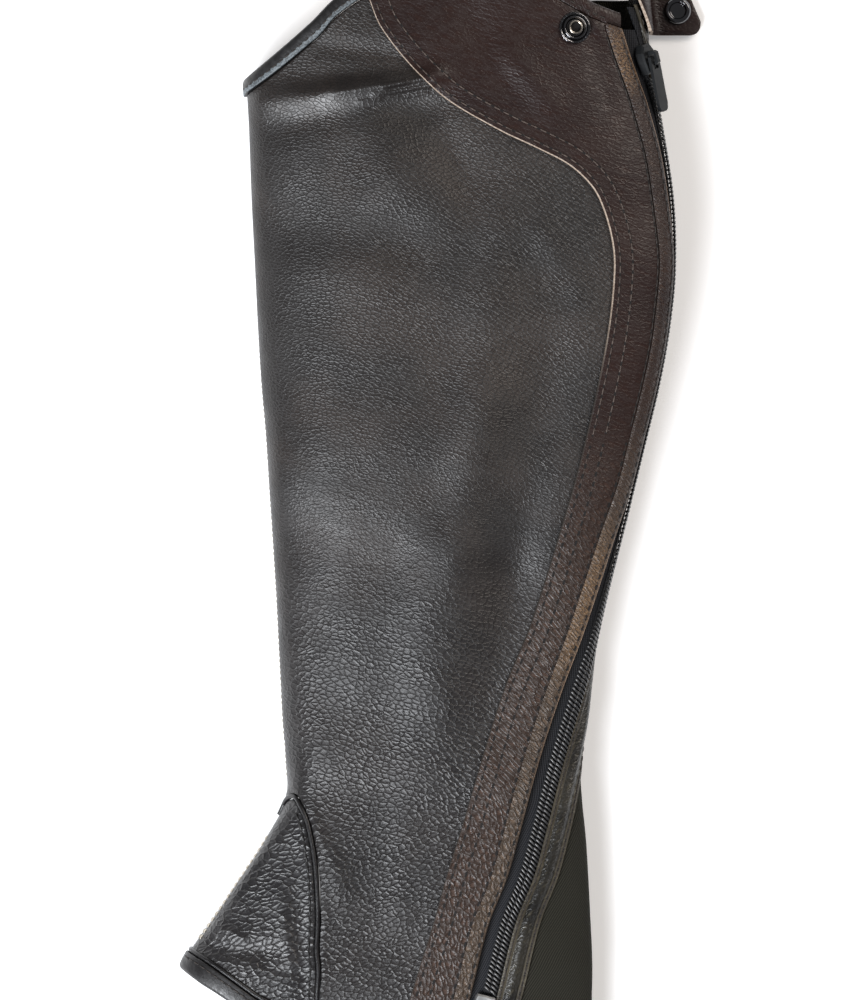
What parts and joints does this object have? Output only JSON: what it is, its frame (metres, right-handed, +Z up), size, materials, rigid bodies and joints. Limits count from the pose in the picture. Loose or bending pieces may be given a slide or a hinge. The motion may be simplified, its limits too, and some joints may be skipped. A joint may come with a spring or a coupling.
{
  "type": "half chap",
  "caption": "Leather half chap for one lower leg, lying empty and closed on its inner side, with a curved back zip, piped instep, smooth top panel and elastic gusset.",
  "frame": {"origin": "middle of the bounding box, on the table that the chap lies on", "axes": "+X from the front seam towards the back zip, +Y up the leg from the foot to the calf, +Z up from the table"},
  "size_m": [0.2102, 0.463, 0.0404],
  "materials": {
    "grained_leather": "pebbled, semi-matte",
    "smooth_brown_leather": "smooth, slightly waxed",
    "worn_facing_leather": "smooth, worn to tan",
    "rolled_strip_leather": "smooth, rolled",
    "binding_leather": "smooth, matte",
    "piping_leather": "smooth, semi-gloss",
    "zip_tape_fabric": "woven, matte",
    "ribbed_elastic": "ribbed, matte",
    "black_zip_metal": "black enamel, gloss",
    "silver_zip_box": "polished",
    "gunmetal_snap": "dark, polished"
  },
  "bodies": {
    "chap": {"shaft_outer": "grained_leather", "shaft_inner": "grained_leather", "instep_outer": "grained_leather", "instep_inner": "grained_leather", "spanish_top": "smooth_brown_leather", "zip_facing": "worn_facing_leather", "snap_tab": "smooth_brown_leather", "back_strip": "rolled_strip_leather", "top_binding_outer": "binding_leather", "top_binding_inner": "binding_leather", "hem_band_outer": "binding_leather", "hem_band_inner": "binding_leather", "hem_piping_outer": "piping_leather", "hem_piping_inner": "piping_leather", "instep_piping_outer": "piping_leather", "instep_piping_inner": "piping_leather", "zip_tape_outer": "zip_tape_fabric", "zip_tape_inner": "zip_tape_fabric", "zip_chain": "zip_tape_fabric", "elastic_panel": "ribbed_elastic", "stirrup_strap": "ribbed_elastic", "zip_slider": "black_zip_metal", "zip_box": "silver_zip_box", "snap_stud": "gunmetal_snap", "snap_cap": "gunmetal_snap", "snap_socket": "gunmetal_snap"},
    "pull": {"zip_pull": "black_zip_metal"}
  },
  "joints": [
    {"name": "pull_hinge", "type": "hinge", "parent": "chap", "child": "pull", "pos_m": [0.08503, 0.19014, 0.02949], "axis": [-0.6022, -0.2758, 0.7492], "range_deg": [0, 150]}
  ]
}
